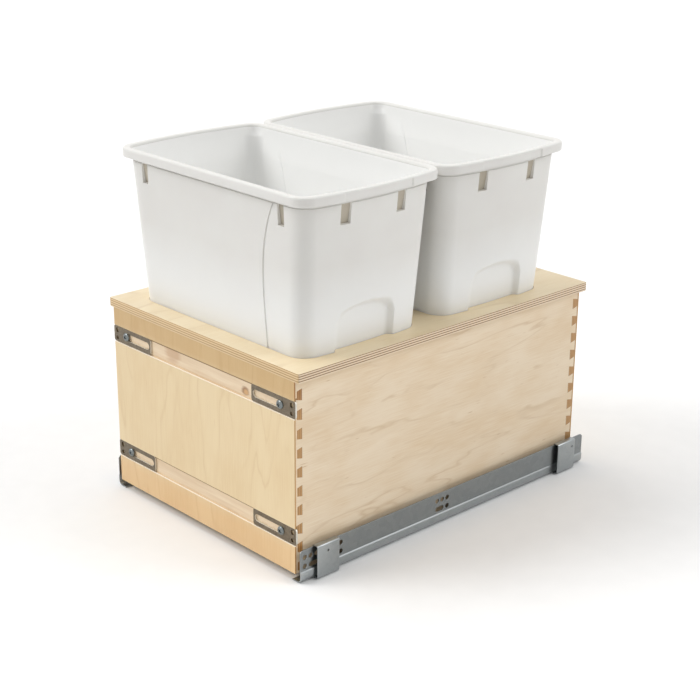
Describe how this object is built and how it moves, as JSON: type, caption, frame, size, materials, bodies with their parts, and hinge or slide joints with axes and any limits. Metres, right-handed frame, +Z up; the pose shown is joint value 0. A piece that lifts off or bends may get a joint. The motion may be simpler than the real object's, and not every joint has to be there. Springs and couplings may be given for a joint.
{
  "type": "pull-out waste bin",
  "caption": "Pull-out waste bin: dovetailed plywood box on concealed full-extension slides, with lift-out tapered plastic bins and sliding door brackets.",
  "frame": {"origin": "on the cabinet floor, midway across the unit and midway between the door bracket screw heads and the back ends of the rails", "axes": "+Z up, -Y towards the cabinet door, which is the way it pulls out, and +X across the unit to its right-hand side seen from the front"},
  "size_m": [0.392, 0.5368, 0.4751],
  "materials": {
    "birch_plywood": "clear lacquered birch veneer with striped edges",
    "beech_dowel": "plain",
    "bracket_steel": "satin zinc",
    "zinc_screw": "bright zinc",
    "white_polypropylene": "satin moulded",
    "galvanised_steel": "galvanised",
    "grey_acetal": "moulded",
    "white_acetal": "moulded",
    "grey_abs": "moulded",
    "orange_abs": "moulded",
    "bright_steel": "ground"
  },
  "bodies": {
    "cabinet": {"cabinet_rail_left": "galvanised_steel", "front_spacer_clip_left": "galvanised_steel", "rear_spacer_clip_left": "galvanised_steel", "cabinet_track_left": "galvanised_steel", "soft_close_housing_left": "grey_abs", "soft_close_damper_left": "bright_steel", "closing_spring_left": "bright_steel", "cabinet_rail_right": "galvanised_steel", "front_spacer_clip_right": "galvanised_steel", "rear_spacer_clip_right": "galvanised_steel", "cabinet_track_right": "galvanised_steel", "soft_close_housing_right": "grey_abs", "soft_close_damper_right": "bright_steel", "closing_spring_right": "bright_steel"},
    "drawer": {"front_panel": "birch_plywood", "back_panel": "birch_plywood", "side_panel_left": "birch_plywood", "side_panel_right": "birch_plywood", "bottom_panel": "birch_plywood", "top_panel": "birch_plywood", "top_panel_dowels": "beech_dowel", "door_bracket_screws": "zinc_screw", "locking_device_screws": "zinc_screw", "drawer_runner_left": "galvanised_steel", "closing_catch_left": "galvanised_steel", "locking_device_left": "grey_abs", "drawer_runner_right": "galvanised_steel", "closing_catch_right": "galvanised_steel", "locking_device_right": "grey_abs"},
    "front_bin": {"front_bin": "white_polypropylene"},
    "rear_bin": {"rear_bin": "white_polypropylene"},
    "middle_rail_left": {"middle_rail_left": "galvanised_steel"},
    "lower_carriage_left": {"lower_carriage_left": "grey_acetal", "lower_rollers_left": "white_acetal"},
    "upper_carriage_left": {"upper_carriage_left": "grey_acetal", "upper_rollers_left": "white_acetal"},
    "soft_close_trolley_left": {"soft_close_trolley_left": "grey_acetal", "damper_rod_left": "bright_steel"},
    "release_lever_left": {"release_lever_left": "orange_abs"},
    "upper_door_bracket_left": {"upper_door_bracket_left": "bracket_steel"},
    "lower_door_bracket_left": {"lower_door_bracket_left": "bracket_steel"},
    "middle_rail_right": {"middle_rail_right": "galvanised_steel"},
    "lower_carriage_right": {"lower_carriage_right": "grey_acetal", "lower_rollers_right": "white_acetal"},
    "upper_carriage_right": {"upper_carriage_right": "grey_acetal", "upper_rollers_right": "white_acetal"},
    "soft_close_trolley_right": {"soft_close_trolley_right": "grey_acetal", "damper_rod_right": "bright_steel"},
    "release_lever_right": {"release_lever_right": "orange_abs"},
    "upper_door_bracket_right": {"upper_door_bracket_right": "bracket_steel"},
    "lower_door_bracket_right": {"lower_door_bracket_right": "bracket_steel"}
  },
  "joints": [
    {"name": "drawer_slide", "type": "slide", "parent": "cabinet", "child": "drawer", "axis": [0, -1, 0], "range_m": [0, 0.52]},
    {"name": "front_bin_lift", "type": "slide", "parent": "drawer", "child": "front_bin", "axis": [0, 0, 1], "range_m": [0, 0.3]},
    {"name": "rear_bin_lift", "type": "slide", "parent": "drawer", "child": "rear_bin", "axis": [0, 0, 1], "range_m": [0, 0.3]},
    {"name": "middle_rail_left_slide", "type": "slide", "parent": "cabinet", "child": "middle_rail_left", "axis": [0, -1, 0], "range_m": [0, 0.26]},
    {"name": "lower_carriage_left_slide", "type": "slide", "parent": "cabinet", "child": "lower_carriage_left", "axis": [0, -1, 0], "range_m": [0, 0.13]},
    {"name": "upper_carriage_left_slide", "type": "slide", "parent": "cabinet", "child": "upper_carriage_left", "axis": [0, -1, 0], "range_m": [0, 0.39]},
    {"name": "soft_close_left_travel", "type": "slide", "parent": "cabinet", "child": "soft_close_trolley_left", "axis": [0, -1, 0], "range_m": [0, 0.045]},
    {"name": "release_lever_left_swing", "type": "hinge", "parent": "drawer", "child": "release_lever_left", "pos_m": [-0.1376, -0.22395, 0.018], "axis": [0, 0, -1], "range_deg": [0, 9]},
    {"name": "upper_door_bracket_left_slide", "type": "slide", "parent": "drawer", "child": "upper_door_bracket_left", "axis": [-1, 0, 0], "range_m": [0, 0.045]},
    {"name": "lower_door_bracket_left_slide", "type": "slide", "parent": "drawer", "child": "lower_door_bracket_left", "axis": [-1, 0, 0], "range_m": [0, 0.045]},
    {"name": "middle_rail_right_slide", "type": "slide", "parent": "cabinet", "child": "middle_rail_right", "axis": [0, -1, 0], "range_m": [0, 0.26]},
    {"name": "lower_carriage_right_slide", "type": "slide", "parent": "cabinet", "child": "lower_carriage_right", "axis": [0, -1, 0], "range_m": [0, 0.13]},
    {"name": "upper_carriage_right_slide", "type": "slide", "parent": "cabinet", "child": "upper_carriage_right", "axis": [0, -1, 0], "range_m": [0, 0.39]},
    {"name": "soft_close_right_travel", "type": "slide", "parent": "cabinet", "child": "soft_close_trolley_right", "axis": [0, -1, 0], "range_m": [0, 0.045]},
    {"name": "release_lever_right_swing", "type": "hinge", "parent": "drawer", "child": "release_lever_right", "pos_m": [0.1376, -0.22395, 0.018], "axis": [0, 0, 1], "range_deg": [0, 9]},
    {"name": "upper_door_bracket_right_slide", "type": "slide", "parent": "drawer", "child": "upper_door_bracket_right", "axis": [1, 0, 0], "range_m": [0, 0.045]},
    {"name": "lower_door_bracket_right_slide", "type": "slide", "parent": "drawer", "child": "lower_door_bracket_right", "axis": [1, 0, 0], "range_m": [0, 0.045]}
  ],
  "couplings": [
    {"joint": "middle_rail_left_slide", "follows": "drawer_slide", "ratio": 0.5},
    {"joint": "lower_carriage_left_slide", "follows": "drawer_slide", "ratio": 0.25},
    {"joint": "upper_carriage_left_slide", "follows": "drawer_slide", "ratio": 0.75},
    {"joint": "middle_rail_right_slide", "follows": "drawer_slide", "ratio": 0.5},
    {"joint": "lower_carriage_right_slide", "follows": "drawer_slide", "ratio": 0.25},
    {"joint": "upper_carriage_right_slide", "follows": "drawer_slide", "ratio": 0.75}
  ]
}
